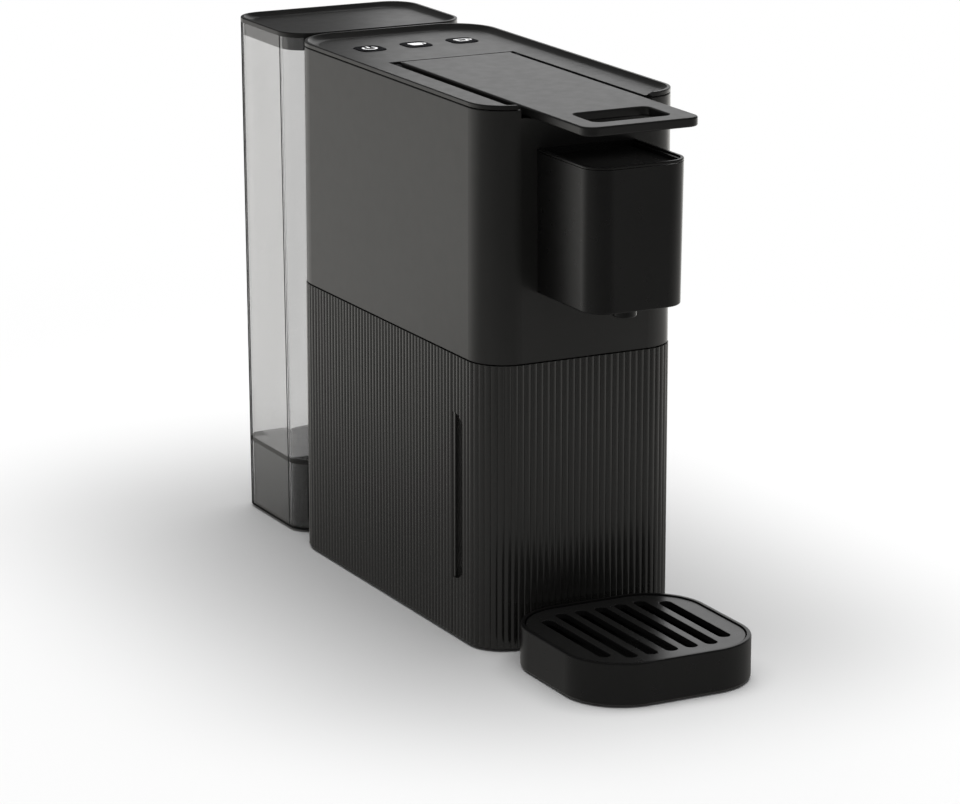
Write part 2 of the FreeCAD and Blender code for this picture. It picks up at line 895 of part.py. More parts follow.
def make_injection_plate():
    y0 = injector_front()
    plate = rod_y(0, y0, y0 + injector_thickness, brew_z, injector_radius)
    needles = []
    for index in range(3):
        angle = math.radians(90 + 120 * index)
        x = needle_circle * math.cos(angle)
        z = brew_z + needle_circle * math.sin(angle)
        root = FreeCAD.Vector(x, y0, z)
        forward = FreeCAD.Vector(0, -1, 0)
        needles.append(Part.makeCone(needle_radius, needle_tip, needle_length, root, forward))
    plate = fuse(plate, needles)
    return plate.cut(rod_y(0, y0, y0 + injector_thickness, brew_z, hot_hose_bore))


def make_chamber_seal():
    y0 = injector_front()
    ring = rod_y(0, y0, y0 + injector_thickness, brew_z, injector_radius + seal_width)
    return ring.cut(rod_y(0, y0, y0 + injector_thickness, brew_z, injector_radius + pin_gap))


def head_wire(inset, height):
    drawn = (head_high - height) * math.tan(math.radians(head_draft)) + inset
    corner = head_corner - inset
    return outline(
        head_half - drawn, front - head_reach + drawn, front, corner, 0, base + height
    )


def head_block(inset, low, high):
    return Part.makeLoft([head_wire(inset, low), head_wire(inset, high)], True, True)


def make_brew_head():
    top = head_high - cap_band - slide_gap
    head = head_block(0, head_low, top)
    edges = [e for e in level_edges(head, base + head_low) if e.BoundBox.YMin < front - fit_gap]
    head = head.makeFillet(tray_edge, edges)
    head = head.cut(head_block(head_wall, head_low + head_wall, top))
    open_back = box(
        -head_opening_half, head_opening_half, front - 2 * head_wall, front,
        base + head_low + head_wall, base + head_opening_high
    )
    head = head.cut(open_back)
    low = base + head_low
    return head.cut(rod_z(0, front - spout_depth, low, low + head_wall, spout_radius + fit_gap))


def make_head_cap():
    band = head_block(0, head_high - cap_band, head_high)
    edges = [e for e in level_edges(band, base + head_high) if e.BoundBox.YMin < front - fit_gap]
    band = band.makeFillet(edge_round, edges)
    plug = head_block(head_wall + fit_gap, head_high - cap_band - cap_plug, head_high - cap_band)
    plug = plug.common(box(-head_half, head_half, front - head_reach, front - slide_gap, 0, rim_z))
    cap = fuse(band, [plug])
    sunk = head_block(cap_rim, head_high - cap_sink, head_high + cap_rim)
    sunk = sunk.common(box(-head_half, head_half, front - head_reach, front - cap_rim, 0, rim_z))
    cap = cap.cut(sunk)
    hollow = head_block(
        head_wall + fit_gap + cap_floor, head_high - cap_band - cap_plug, head_high - cap_sink - cap_floor
    )
    return cap.cut(hollow.common(box(-head_half, head_half, front - head_reach, front - head_wall, 0, rim_z)))


def make_spout():
    y = front - spout_depth
    floor = base + head_low + head_wall
    tube = rod_z(0, y, base + spout_tip, floor, spout_radius)
    lower = level_edges(tube, base + spout_tip)
    tube = tube.makeFillet(tray_edge, lower)
    return tube.cut(rod_z(0, y, base + spout_tip, floor, spout_bore))


def make_coffee_funnel():
    low = base + head_low + head_wall
    y0 = front - head_reach + 2 * head_wall + head_corner / 2
    y1 = front + funnel_rear
    trough = box(-funnel_half, funnel_half, y0, y1, low, low + funnel_height)
    inside = box(
        -funnel_half + funnel_wall,
        funnel_half - funnel_wall,
        y0 + funnel_wall,
        y1 - funnel_wall,
        low + funnel_wall,
        low + funnel_height,
    )
    return trough.cut(inside).cut(rod_z(0, front - spout_depth, low, low + funnel_wall, spout_bore))


# Buttons and their board
def make_button(x, y):
    cap_low = panel_low - slide_gap
    top = panel_z + button_proud
    cap = rounded_pad(x, y, button_size, button_corner, cap_low, top)
    cap = cap.makeFillet(button_proud, level_edges(cap, top))
    flange_low = cap_low - button_flange_thickness
    flange = rounded_pad(x, y, button_flange, button_corner, flange_low, cap_low)
    stem_low = switch_top() + button_travel + pin_gap
    half = button_stem / 2
    stem = box(x - half, x + half, y - half, y + half, stem_low, flange_low)
    return fuse(cap, [flange, stem])


def board_top():
    return panel_low - board_drop


def switch_top():
    return board_top() + switch_height + nub_height


def make_control_board():
    y0 = front + board_front
    board = box(-board_half, board_half, y0, y0 + board_length, board_top() - board_thickness, board_top())
    for x, y in board_posts():
        hole = rod_z(x, y, board_top() - board_thickness, board_top(), board_screw_radius + pin_gap)
        board = board.cut(hole)
    return board


def make_button_switches():
    switches = []
    half = switch_size / 2
    for x, y in button_places():
        case = box(x - half, x + half, y - half, y + half, board_top(), board_top() + switch_height)
        switches.append(fuse(case, [rod_z(x, y, board_top() + switch_height, switch_top(), nub_radius)]))
    return Part.makeCompound(switches)


def make_board_screws():
    low = board_top() - board_thickness
    screws = []
    for x, y in board_posts():
        head = rod_z(x, y, low - board_thickness, low, 2 * board_screw_radius)
        screws.append(fuse(head, [rod_z(x, y, low, low + boss_inset + board_thickness, board_screw_radius)]))
    return Part.makeCompound(screws)


# Tank, lid and pedestal
def tank_wire(inset, drawn, corner, z):
    shift = tank_top_inset + drawn + inset
    return outline(lid_half - shift, lid_front + shift, lid_rear - shift, corner - inset, corner - inset, z)


def tank_block(inset):
    lower = tank_wire(inset, tank_draft, tank_corner, base)
    upper = tank_wire(inset, 0, tank_top_corner, tank_z)
    return Part.makeLoft([lower, upper], True, True)


def make_water_tank():
    floor = slab(lid_half, lid_front, lid_rear, lid_corner, lid_corner, floor_z, floor_z + tank_floor)
    tank = tank_block(0).cut(tank_block(tank_wall).cut(floor))
    door_end = lid_front + 2 * lid_corner
    tank = tank.cut(box(-door_half, door_half, lid_front, door_end, base, base + door_height))
    cord = box(
        gland_side - cord_door_half, gland_side + cord_door_half,
        lid_rear - lid_corner, lid_rear, base, base + door_height
    )
    tank = tank.cut(cord)
    return tank.cut(rod_z(0, outlet_y, floor_z, floor_z + tank_floor, outlet_radius + pin_gap))


def make_tank_outlet():
    top = floor_z + tank_floor
    body = rod_z(0, outlet_y, floor_z - outlet_drop, top, outlet_radius)
    flange = rod_z(0, outlet_y, top, top + outlet_rim, outlet_flange)
    outlet = fuse(body, [flange])
    return outlet.cut(rod_z(0, outlet_y, floor_z - outlet_drop, top + outlet_rim, outlet_bore))


def make_tank_lid():
    cap = slab(lid_half, lid_front, lid_rear, lid_corner, lid_corner, tank_z, rim_z)
    cap = cap.makeFillet(edge_round, level_edges(cap, rim_z))
    inset = tank_top_inset + tank_wall + slide_gap
    corner = tank_top_corner - tank_wall
    low = tank_z - plug_drop
    floor = inset + plug_wall
    skirt = slab(lid_half - inset, lid_front + inset, lid_rear - inset, corner, corner, low, tank_z)
    bend = corner - plug_wall
    inner = slab(lid_half - floor, lid_front + floor, lid_rear - floor, bend, bend, low, tank_z)
    deck_low = rim_z - lid_sink - lid_floor
    deck = slab(lid_half - inset, lid_front + inset, lid_rear - inset, corner, corner, deck_low, tank_z)
    lid = fuse(cap, [skirt.cut(inner), deck])
    hollow = cove_cutter(
        lid_half, lid_front, lid_rear, lid_corner, lid_corner, rim_z, lid_sink, rim_width, cove_width
    )
    return lid.cut(hollow)


def make_tank_pedestal():
    y0, y1, half = pedestal_plan()
    corner = tank_corner - tank_wall
    inset = pedestal_wall
    block = slab(half, y0, y1, corner, corner, base_top, floor_z)
    block = block.cut(
        slab(half - inset, y0 + inset, y1 - inset, corner - inset, corner - inset, base_top, floor_z - inset)
    )
    neck_front = front + body_depth + reed_height
    neck = box(-neck_half, neck_half, neck_front, y0 + inset / 2, base_top, base + neck_height)
    cup_low = floor_z - socket_depth
    cup = rod_z(0, outlet_y, cup_low, floor_z, socket_radius)
    stub = rod_z(0, outlet_y, cup_low - pump_stub, cup_low, stub_radius)
    block = fuse(block, [neck, cup, stub])
    block = block.cut(rod_z(0, outlet_y, cup_low + socket_floor, floor_z, outlet_radius + seal_lap + pin_gap))
    block = block.cut(rod_z(0, outlet_y, cup_low - pump_stub, floor_z, stub_bore))
    passage = rod_y(0, front + body_depth, y0 + 2 * inset, hose_z, hose_radius + seam_gap)
    block = block.cut(passage)
    gland = rod_y(gland_side, y1 - 2 * inset, y1 + inset, base + gland_height, gland_radius + pin_gap)
    return block.cut(gland)


def make_tank_seal():
    low = floor_z - socket_depth + socket_floor
    ring = rod_z(0, outlet_y, low, low + seal_height, outlet_radius + seal_lap)
    return ring.cut(rod_z(0, outlet_y, low, low + seal_height, outlet_radius + fit_gap))


def make_cord_gland():
    y0, y1, half = pedestal_plan()
    z = base + gland_height
    mouth = y1 + gland_flange_thickness
    body = rod_y(gland_side, mouth - gland_length, mouth, z, gland_radius)
    flange = rod_y(gland_side, y1, y1 + gland_flange_thickness, z, gland_flange)
    gland = fuse(body, [flange])
    return gland.cut(rod_y(gland_side, y1 - gland_length, y1 + gland_length, z, cord_bore))


# Drip tray
def tray_slab(inset, z0, z1):
    corner = tray_corner - inset
    y0 = front - tray_reach + inset
    y1 = front - tray_rear - inset
    return slab(tray_half - inset, y0, y1, corner, corner, z0, z1)


def grille_top():
    return base + tray_height - grille_sink


def make_drip_tray():
    low = tray_clearance
    top = base + tray_height
    tray = tray_slab(0, low, top)
    tray = tray.makeFillet(tray_edge, level_edges(tray, low) + level_edges(tray, top))
    seat = grille_top() - grille_thickness
    tray = tray.cut(tray_slab(tray_wall, seat, top))
    tray = tray.cut(tray_slab(tray_wall + grille_ledge, low + tray_floor, top))
    rear = front - tray_rear
    tip = front + wall - slide_gap
    tongue = box(-tongue_half, tongue_half, rear - tray_wall, tip, base + tongue_low, base + tongue_high)
    return fuse(tray, [tongue])


def make_drip_grille():
    seat = grille_top() - grille_thickness
    grille = tray_slab(tray_wall + grille_gap, seat, grille_top())
    y0 = front - tray_reach
    y1 = front - tray_rear
    slots = []
    for index in range(slot_count):
        place = index - (slot_count - 1) / 2
        margin = outer_slot_margin if abs(place) == (slot_count - 1) / 2 else slot_margin
        corner = slot_width / 2 - pin_gap
        slot = slab(slot_width / 2, y0 + margin, y1 - margin, corner, corner, seat, grille_top())
        slot.translate(FreeCAD.Vector(place * slot_pitch, 0, 0))
        slots.append(slot)
    grille = grille.cut(Part.makeCompound(slots))
    return grille.makeFillet(slide_gap, level_edges(grille, grille_top()))


# Inner chassis, water path and power
def make_inner_chassis():
    y0 = front + bulkhead_depth
    shelf_z = base + shelf_height
    bulkhead = box(-chassis_half, chassis_half, y0, y0 + chassis_wall, base_top, base + bulkhead_height)
    shelf_end = y0 + shelf_length
    shelf = box(-shelf_half, shelf_half, y0, shelf_end, shelf_z, shelf_z + chassis_wall)
    leg_in = shelf_half - leg_width
    legs = both_sides(box(leg_in, shelf_half, shelf_end - leg_width, shelf_end, base_top, shelf_z))
    chassis = fuse(bulkhead, [shelf] + legs)
    return chassis.cut(rod_z(0, front + pump_depth, shelf_z, shelf_z + chassis_wall, hose_radius + slide_gap))


def pump_low_z():
    return base + pump_low


def pump_top_z():
    return pump_low_z() + pump_height


def make_water_pump():
    y = front + pump_depth
    low = pump_low_z()
    barrel = rod_z(0, y, low, low + pump_height, pump_body_radius)
    coil_low = low + pump_coil_start
    coil = rounded_pad(0, y, 2 * pump_half, pump_half / 4, coil_low, coil_low + pump_coil_height)
    inlet = rod_z(0, y, low - pump_stub, low, stub_radius)
    outlet = rod_z(0, y, low + pump_height, low + pump_height + pump_stub, stub_radius)
    pump = fuse(barrel, [coil, inlet, outlet])
    return pump.cut(rod_z(0, y, low - pump_stub, low + pump_height + pump_stub, stub_bore))


def make_pump_mounts():
    # Rubber blocks that stand on the base plate and carry the coil frame's underside.
    coil_low = pump_low_z() + pump_coil_start
    y = front + pump_depth
    return Part.makeCompound(
        both_sides(box(mount_gap, mount_gap + mount_width, y - pump_half, y + pump_half, base_top, coil_low))
    )


def make_flow_meter():
    y = front + meter_depth
    case = rod_z(0, y, base_top, base_top + meter_height, meter_radius)
    stubs = rod_y(0, y - meter_radius - pump_stub, y + meter_radius + pump_stub, hose_z, stub_radius)
    return fuse(case, [stubs]).cut(
        rod_y(0, y - meter_radius - pump_stub, y + meter_radius + pump_stub, hose_z, stub_bore)
    )


def make_suction_hose():
    start = front + meter_depth + meter_radius + pin_gap
    points = [
        FreeCAD.Vector(0, start, hose_z),
        FreeCAD.Vector(0, outlet_y, hose_z),
        FreeCAD.Vector(0, outlet_y, floor_z - socket_depth - pin_gap),
    ]
    return hose(points, hose_radius, hose_bore)


def make_inlet_hose():
    y = front + pump_depth
    points = [
        FreeCAD.Vector(0, front + meter_depth - meter_radius - pin_gap, hose_z),
        FreeCAD.Vector(0, y, hose_z),
        FreeCAD.Vector(0, y, pump_low_z() - pin_gap),
    ]
    return hose(points, hose_radius, hose_bore)


def heater_low():
    return base + shelf_height + chassis_wall + heater_gap


def make_pressure_hose():
    y = front + pump_depth
    points = [FreeCAD.Vector(0, y, pump_top_z() + pin_gap), FreeCAD.Vector(0, y, heater_low() - pin_gap)]
    return hose(points, hose_radius, hose_bore)


def make_thermoblock():
    low = heater_low()
    y0 = front + heater_front
    y1 = y0 + heater_length
    block = slab(heater_half, y0, y1, heater_corner, heater_corner, low, low + heater_height)
    feet = []
    for y in (y0 + heater_foot_inset, y1 - heater_foot_inset):
        foot_x = heater_half - heater_foot_inset
        feet += both_sides(rod_z(foot_x, y, low - heater_gap, low, heater_foot_radius))
    pump_y = front + pump_depth
    inlet = rod_z(0, pump_y, low - pump_stub, low, stub_radius)
    block = fuse(block, feet + [inlet])
    return block.cut(rod_z(0, pump_y, low - pump_stub, low + heater_height, stub_bore))


def make_thermal_cutout():
    z = heater_low() + heater_height
    y = front + cutout_depth
    can = rod_z(0, y, z, z + cutout_height, cutout_radius)
    top = z + cutout_height
    tab = box(tab_side, tab_side + tab_thickness, y - tab_half, y + tab_half, top, top + tab_height)
    tabs = both_sides(tab)
    return fuse(can, tabs)


def make_hot_water_hose():
    y = front + pump_depth
    bridge_y = injector_front() + injector_thickness + bridge_length
    points = [
        FreeCAD.Vector(0, y, heater_low() + heater_height),
        FreeCAD.Vector(0, y, brew_z),
        FreeCAD.Vector(0, bridge_y, brew_z),
    ]
    return hose(points, hot_hose_radius, hot_hose_bore)


def make_power_board():
    y0 = front + supply_front
    x = supply_side
    z0 = base_top
    board = box(x, x + board_thickness, y0, y0 + supply_length, z0, z0 + supply_height)
    face = x + board_thickness
    blocks = []
    for along, up, length, height, tall in supply_blocks.values():
        y = y0 + along
        z = z0 + up
        blocks.append(box(face, face + tall, y, y + length, z, z + height))
    return fuse(board, blocks)


nodes = {
    "base_plate": make_base_plate(),
    "rubber_feet": make_feet(),
    "base_screws": make_base_screws(),
    "rear_lower_shell": make_rear_lower_shell(),
    "drawer_front": make_drawer_front(),
    "capsule_bin": make_capsule_bin(),
    "upper_shell": make_upper_shell(),
    "top_cover": make_top_cover(),
    "lever_well": make_lever_well(),
    "lever_pin": make_lever_pin(),
    "lever": make_lever(),
    "drive_pins": make_drive_pins(),
    "capsule_cage": make_capsule_cage(),
    "outlet_plate": make_outlet_plate(),
    "brew_frame": make_brew_frame(),
    "injection_plate": make_injection_plate(),
    "chamber_seal": make_chamber_seal(),
    "brew_head": make_brew_head(),
    "head_cap": make_head_cap(),
    "spout": make_spout(),
    "coffee_funnel": make_coffee_funnel(),
    "control_board": make_control_board(),
    "button_switches": make_button_switches(),
    "board_screws": make_board_screws(),
    "water_tank": make_water_tank(),
    "tank_outlet": make_tank_outlet(),
    "tank_lid": make_tank_lid(),
    "tank_pedestal": make_tank_pedestal(),
    "tank_seal": make_tank_seal(),
    "cord_gland": make_cord_gland(),
    "drip_tray": make_drip_tray(),
    "drip_grille": make_drip_grille(),
    "inner_chassis": make_inner_chassis(),
    "water_pump": make_water_pump(),
    "pump_mounts": make_pump_mounts(),
    "flow_meter": make_flow_meter(),
    "suction_hose": make_suction_hose(),
    "inlet_hose": make_inlet_hose(),
    "pressure_hose": make_pressure_hose(),
    "thermoblock": make_thermoblock(),
    "thermal_cutout": make_thermal_cutout(),
    "hot_water_hose": make_hot_water_hose(),
    "power_board": make_power_board(),
}
for name, place in zip(("power_button", "small_cup_button", "large_cup_button"), button_places()):
    nodes[name] = make_button(*place)

os.makedirs("parts", exist_ok=True)
for name, shape in nodes.items():
    shape.exportStep("parts/" + name + ".step")
    print(name, len(shape.Solids), shape.isValid(), round(shape.Volume))
print("front", round(front, 3), "pivot", round(pivot_y, 3), round(pivot_z, 3))
print("cage travel", round(cage_travel, 3))
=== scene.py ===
import json
import math

import bpy
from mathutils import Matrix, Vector

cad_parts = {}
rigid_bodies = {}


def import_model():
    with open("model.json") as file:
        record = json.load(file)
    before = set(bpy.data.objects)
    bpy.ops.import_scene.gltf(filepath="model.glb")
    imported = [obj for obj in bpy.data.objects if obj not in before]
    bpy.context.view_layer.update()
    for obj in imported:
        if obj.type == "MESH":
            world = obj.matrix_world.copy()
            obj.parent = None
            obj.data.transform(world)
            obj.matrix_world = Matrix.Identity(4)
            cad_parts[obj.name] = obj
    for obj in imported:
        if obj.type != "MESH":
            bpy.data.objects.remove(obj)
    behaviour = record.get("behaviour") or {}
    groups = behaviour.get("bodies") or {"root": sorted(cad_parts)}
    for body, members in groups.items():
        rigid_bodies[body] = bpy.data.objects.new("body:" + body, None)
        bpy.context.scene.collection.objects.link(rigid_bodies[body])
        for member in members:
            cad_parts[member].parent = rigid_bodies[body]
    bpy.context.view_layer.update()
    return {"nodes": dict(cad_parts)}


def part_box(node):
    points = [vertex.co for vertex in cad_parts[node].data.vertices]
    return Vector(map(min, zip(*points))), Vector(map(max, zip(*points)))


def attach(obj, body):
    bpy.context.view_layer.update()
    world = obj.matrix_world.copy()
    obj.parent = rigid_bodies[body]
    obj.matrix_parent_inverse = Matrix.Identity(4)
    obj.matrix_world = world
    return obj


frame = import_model()
nodes = frame["nodes"]
bpy.ops.object.select_all(action="DESELECT")
print("frame loaded,", len(nodes), "nodes")


# small helpers for the shader trees
def newFinish(name):
    finish = bpy.data.materials.new(name)
    finish.use_nodes = True
    tree = finish.node_tree
    tree.nodes.clear()
    output = tree.nodes.new("ShaderNodeOutputMaterial")
    shader = tree.nodes.new("ShaderNodeBsdfPrincipled")
    tree.links.new(shader.outputs["BSDF"], output.inputs["Surface"])
    coords = tree.nodes.new("ShaderNodeTexCoord").outputs["Object"]
    return finish, tree, shader, coords


def outputNode(tree):
    return next(n for n in tree.nodes if n.type == "OUTPUT_MATERIAL")


def stretched(tree, coords, scale, turn=(0, 0, 0)):
    mapping = tree.nodes.new("ShaderNodeMapping")
    mapping.inputs["Scale"].default_value = scale
    mapping.inputs["Rotation"].default_value = [math.radians(a) for a in turn]
    tree.links.new(coords, mapping.inputs["Vector"])
    return mapping.outputs["Vector"]


def grain(tree, coords, scale, detail=2.0, rough=0.5):
    noise = tree.nodes.new("ShaderNodeTexNoise")
    noise.inputs["Scale"].default_value = scale
    noise.inputs["Detail"].default_value = detail
    noise.inputs["Roughness"].default_value = rough
    tree.links.new(coords, noise.inputs["Vector"])
    return noise.outputs["Fac"]


def shades(tree, factor, dark, light, low=0.35, high=0.65):
    ramp = tree.nodes.new("ShaderNodeValToRGB")
    ramp.color_ramp.elements[0].position = low
    ramp.color_ramp.elements[0].color = (*dark, 1)
    ramp.color_ramp.elements[1].position = high
    ramp.color_ramp.elements[1].color = (*light, 1)
    tree.links.new(factor, ramp.inputs["Fac"])
    return ramp.outputs["Color"]


def ranged(tree, value, fromLow, fromHigh, toLow=0.0, toHigh=1.0, blend="SMOOTHSTEP"):
    step = tree.nodes.new("ShaderNodeMapRange")
    step.interpolation_type = blend
    step.inputs["From Min"].default_value = fromLow
    step.inputs["From Max"].default_value = fromHigh
    step.inputs["To Min"].default_value = toLow
    step.inputs["To Max"].default_value = toHigh
    tree.links.new(value, step.inputs["Value"])
    return step.outputs["Result"]


def spread(tree, factor, low, high, noiseLow=0.3, noiseHigh=0.7):
    return ranged(tree, factor, noiseLow, noiseHigh, low, high, "LINEAR")


def relief(tree, shader, height, strength, depth):
    bump = tree.nodes.new("ShaderNodeBump")
    bump.inputs["Strength"].default_value = strength
    bump.inputs["Distance"].default_value = depth
    tree.links.new(height, bump.inputs["Height"])
    tree.links.new(bump.outputs["Normal"], shader.inputs["Normal"])


def separated(tree, vector):
    node = tree.nodes.new("ShaderNodeSeparateXYZ")
    tree.links.new(vector, node.inputs["Vector"])
    return node.outputs


def joined(tree, operation, first, second):
    node = tree.nodes.new("ShaderNodeMath")
    node.operation = operation
    tree.links.new(first, node.inputs[0])
    tree.links.new(second, node.inputs[1])
    return node.outputs["Value"]


def fixed(tree, operation, first, number=0.0):
    node = tree.nodes.new("ShaderNodeMath")
    node.operation = operation
    tree.links.new(first, node.inputs[0])
    node.inputs[1].default_value = number
    return node.outputs["Value"]


def vectorMath(tree, operation, *vectors):
    node = tree.nodes.new("ShaderNodeVectorMath")
    node.operation = operation
    for socket, vector in zip(node.inputs, vectors):
        tree.links.new(vector, socket)
    return node


def blended(tree, factor, first, second):
    node = tree.nodes.new("ShaderNodeMixShader")
    tree.links.new(factor, node.inputs["Fac"])
    tree.links.new(first, node.inputs[1])
    tree.links.new(second, node.inputs[2])
    return node.outputs["Shader"]


# moulded plastics: spark-eroded grain, slow drift of tone, uneven sheen
plasticLooks = {
    "housing": {
        "dark": (0.0125, 0.0122, 0.0114), "light": (0.0150, 0.0147, 0.0138), "rough": (0.29, 0.33),
        "sheen": 0.5, "grainScale": 2600, "grainStrength": 0.05, "drift": 14,
    },
    "reeded": {
        "dark": (0.0125, 0.0122, 0.0114), "light": (0.0150, 0.0147, 0.0138), "rough": (0.15, 0.19),
        "sheen": 0.60, "grainScale": 2600, "grainStrength": 0.03, "drift": 14,
    },
    "topSkin": {
        "dark": (0.0068, 0.0067, 0.0064), "light": (0.0086, 0.0085, 0.0081), "rough": (0.29, 0.33),
        "sheen": 0.5, "grainScale": 2600, "grainStrength": 0.04, "drift": 18,
    },
    "grille": {
        "dark": (0.0085, 0.0084, 0.0082), "light": (0.0105, 0.0104, 0.0101), "rough": (0.27, 0.31),
        "sheen": 0.8, "grainScale": 2600, "grainStrength": 0.04, "drift": 20,
    },
    "front": {
        "dark": (0.0050, 0.0049, 0.0048), "light": (0.0066, 0.0065, 0.0063), "rough": (0.27, 0.31),
        "sheen": 0.37, "grainScale": 2400, "grainStrength": 0.04, "drift": 20,
    },
    "pedestal": {
        "dark": (0.012, 0.012, 0.0118), "light": (0.016, 0.016, 0.0157), "rough": (0.50, 0.60),
        "sheen": 0.12, "grainScale": 1800, "grainStrength": 0.06, "drift": 25,
    },
    "inner": {
        "dark": (0.010, 0.010, 0.011), "light": (0.014, 0.014, 0.015), "rough": (0.48, 0.58),
        "sheen": 0.35, "grainScale": 1800, "grainStrength": 0.08, "drift": 25,
    },
    "pump": {
        "dark": (0.46, 0.085, 0.055), "light": (0.56, 0.12, 0.08), "rough": (0.42, 0.55),
        "sheen": 0.45, "grainScale": 1600, "grainStrength": 0.15, "drift": 40,
    },
}
# noises are given as scale, detail and roughness, or without the scale where each look has its own
plasticNoise = {
    "tone": (4.0, 0.55), "patch": (160.0, 3.0, 0.6), "fine": (3.0, 0.6), "depth": 0.00012,
}


def mouldedPlastic(name, look):
    finish, tree, shader, coords = newFinish(name)
    tone = grain(tree, coords, look["drift"], *plasticNoise["tone"])
    tree.links.new(shades(tree, tone, look["dark"], look["light"]), shader.inputs["Base Color"])
    patch = grain(tree, coords, *plasticNoise["patch"])
    tree.links.new(spread(tree, patch, *look["rough"]), shader.inputs["Roughness"])
    shader.inputs["Specular IOR Level"].default_value = look["sheen"]
    fine = grain(tree, coords, look["grainScale"], *plasticNoise["fine"])
    relief(tree, shader, fine, look["grainStrength"], plasticNoise["depth"])
    return finish


# deep black of the buttons, with faint finger smears
buttonLook = {
    "dark": (0.004, 0.004, 0.005), "light": (0.007, 0.007, 0.008), "rough": (0.52, 0.62),
    "sheen": 0.02, "tone": (90.0, 3.0), "smear": (1.0, 4.0, 0.6), "smearStretch": (220, 90, 90),
    "smearTurn": (0, 0, 35), "wave": (400.0, 2.0), "waveStrength": 0.02, "waveDepth": 0.0002,
}


def buttonPlastic(look):
    finish, tree, shader, coords = newFinish("buttonGloss")
    tone = grain(tree, coords, *look["tone"])
    tree.links.new(shades(tree, tone, look["dark"], look["light"]), shader.inputs["Base Color"])
    drawn = stretched(tree, coords, look["smearStretch"], look["smearTurn"])
    smear = grain(tree, drawn, *look["smear"])
    tree.links.new(spread(tree, smear, *look["rough"]), shader.inputs["Roughness"])
    shader.inputs["Specular IOR Level"].default_value = look["sheen"]
    wave = grain(tree, coords, *look["wave"])
    relief(tree, shader, wave, look["waveStrength"], look["waveDepth"])
    return finish


# smoked clear plastic of the tank, which lets lamp light through;
# a dark shade is painted along its corner lines, on its corners at grazing angles and on its lower
# rim
tankLook = {
    "dark": (0.905, 0.903, 0.899), "light": (0.935, 0.933, 0.929), "rough": (0.02, 0.05),
    "flow": (1.0, 3.0), "flowStretch": (30, 30, 8), "patch": (120.0, 3.0), "ior": 1.56,
    "shadowTint": (0.55, 0.54, 0.53, 1), "smoke": (0.083, 0.085, 0.087, 1), "density": 99.0,
    "draft": 0.0022, "bendLow": 0.010, "bendHigh": 0.013, "upright": 0.3,
    "edgeShadeTone": (0.012, 0.012, 0.012, 1), "lineBack": 0.0127, "lineHalf": 0.00065, "lineCore": 0.6,
    "skin": 0.0008, "grazeBlend": 0.5, "grazeFrom": 0.60, "grazeTo": 0.76,
    "rimHeight": 0.0013, "rimCore": 0.5,
}


# how far each point lies past the axis of its corner's bend, and whether it is in a corner
def tankPlan(tree, coords, look):
    low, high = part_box("water_tank")
    split = separated(tree, coords)
    along = fixed(tree, "SUBTRACT", split["Y"], (low[1] + high[1]) / 2)
    reach = []
    for place, half in ((split["X"], high[0]), (along, (high[1] - low[1]) / 2)):
        axis = ranged(tree, split["Z"], low[2], high[2], half - look["draft"] - look["bendLow"],
                      half - look["bendHigh"], "LINEAR")
        past = joined(tree, "SUBTRACT", fixed(tree, "ABSOLUTE", place), axis)
        reach.append((past, fixed(tree, "SIGN", place)))
    corner = joined(tree, "MULTIPLY", *[fixed(tree, "GREATER_THAN", past) for past, side in reach])
    return split, along, reach, corner


# the mesh's own normals waver in the corners, so there they point away from the bend's axis
def cornerNormal(tree, reach, corner, look):
    aim = tree.nodes.new("ShaderNodeCombineXYZ")
    for socket, (past, side) in zip(("X", "Y"), reach):
        tree.links.new(joined(tree, "MULTIPLY", past, side), aim.inputs[socket])
    normal = tree.nodes.new("ShaderNodeNewGeometry").outputs["Normal"]
    outward = vectorMath(tree, "NORMALIZE", aim.outputs["Vector"]).outputs["Vector"]
    agrees = vectorMath(tree, "DOT_PRODUCT", outward, normal).outputs["Value"]
    turned = vectorMath(tree, "SCALE", outward)
    tree.links.new(fixed(tree, "SIGN", agrees), turned.inputs["Scale"])
    lean = fixed(tree, "ABSOLUTE", separated(tree, normal)["Z"])
    upright = fixed(tree, "LESS_THAN", lean, look["upright"])
    mix = tree.nodes.new("ShaderNodeMix")
    mix.data_type = "VECTOR"
    tree.links.new(joined(tree, "MULTIPLY", corner, upright), mix.inputs["Factor"])
    tree.links.new(normal, mix.inputs["A"])
    tree.links.new(turned.outputs["Vector"], mix.inputs["B"])
    return mix.outputs["Result"]


# painted shade: a dark line near each corner, darkening of the corners at grazing angles, and a
# dark band along the lower rim
def paintedEdgeShade(tree, split, along, corner, look):
    low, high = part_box("water_tank")
    lineAt = (high[1] - low[1]) / 2 - look["lineBack"]
    offLine = fixed(tree, "SUBTRACT", fixed(tree, "ABSOLUTE", along), lineAt)
    fromLine = fixed(tree, "ABSOLUTE", offLine)
    line = ranged(tree, fromLine, look["lineHalf"] * look["lineCore"], look["lineHalf"], 1.0, 0.0)
    wallHalf = ranged(tree, split["Z"], low[2], high[2], high[0] - look["draft"] - look["skin"],
                      high[0] - look["skin"], "LINEAR")
    across = fixed(tree, "ABSOLUTE", split["X"])
    line = joined(tree, "MULTIPLY", line, joined(tree, "GREATER_THAN", across, wallHalf))
    facing = tree.nodes.new("ShaderNodeLayerWeight")
    facing.inputs["Blend"].default_value = look["grazeBlend"]
    graze = ranged(tree, facing.outputs["Facing"], look["grazeFrom"], look["grazeTo"])
    edges = joined(tree, "MAXIMUM", line, joined(tree, "MULTIPLY", graze, corner))
    rimTop = low[2] + look["rimHeight"]
    rimFade = low[2] + look["rimHeight"] * look["rimCore"]
    return joined(tree, "MAXIMUM", edges, ranged(tree, split["Z"], rimFade, rimTop, 1.0, 0.0))


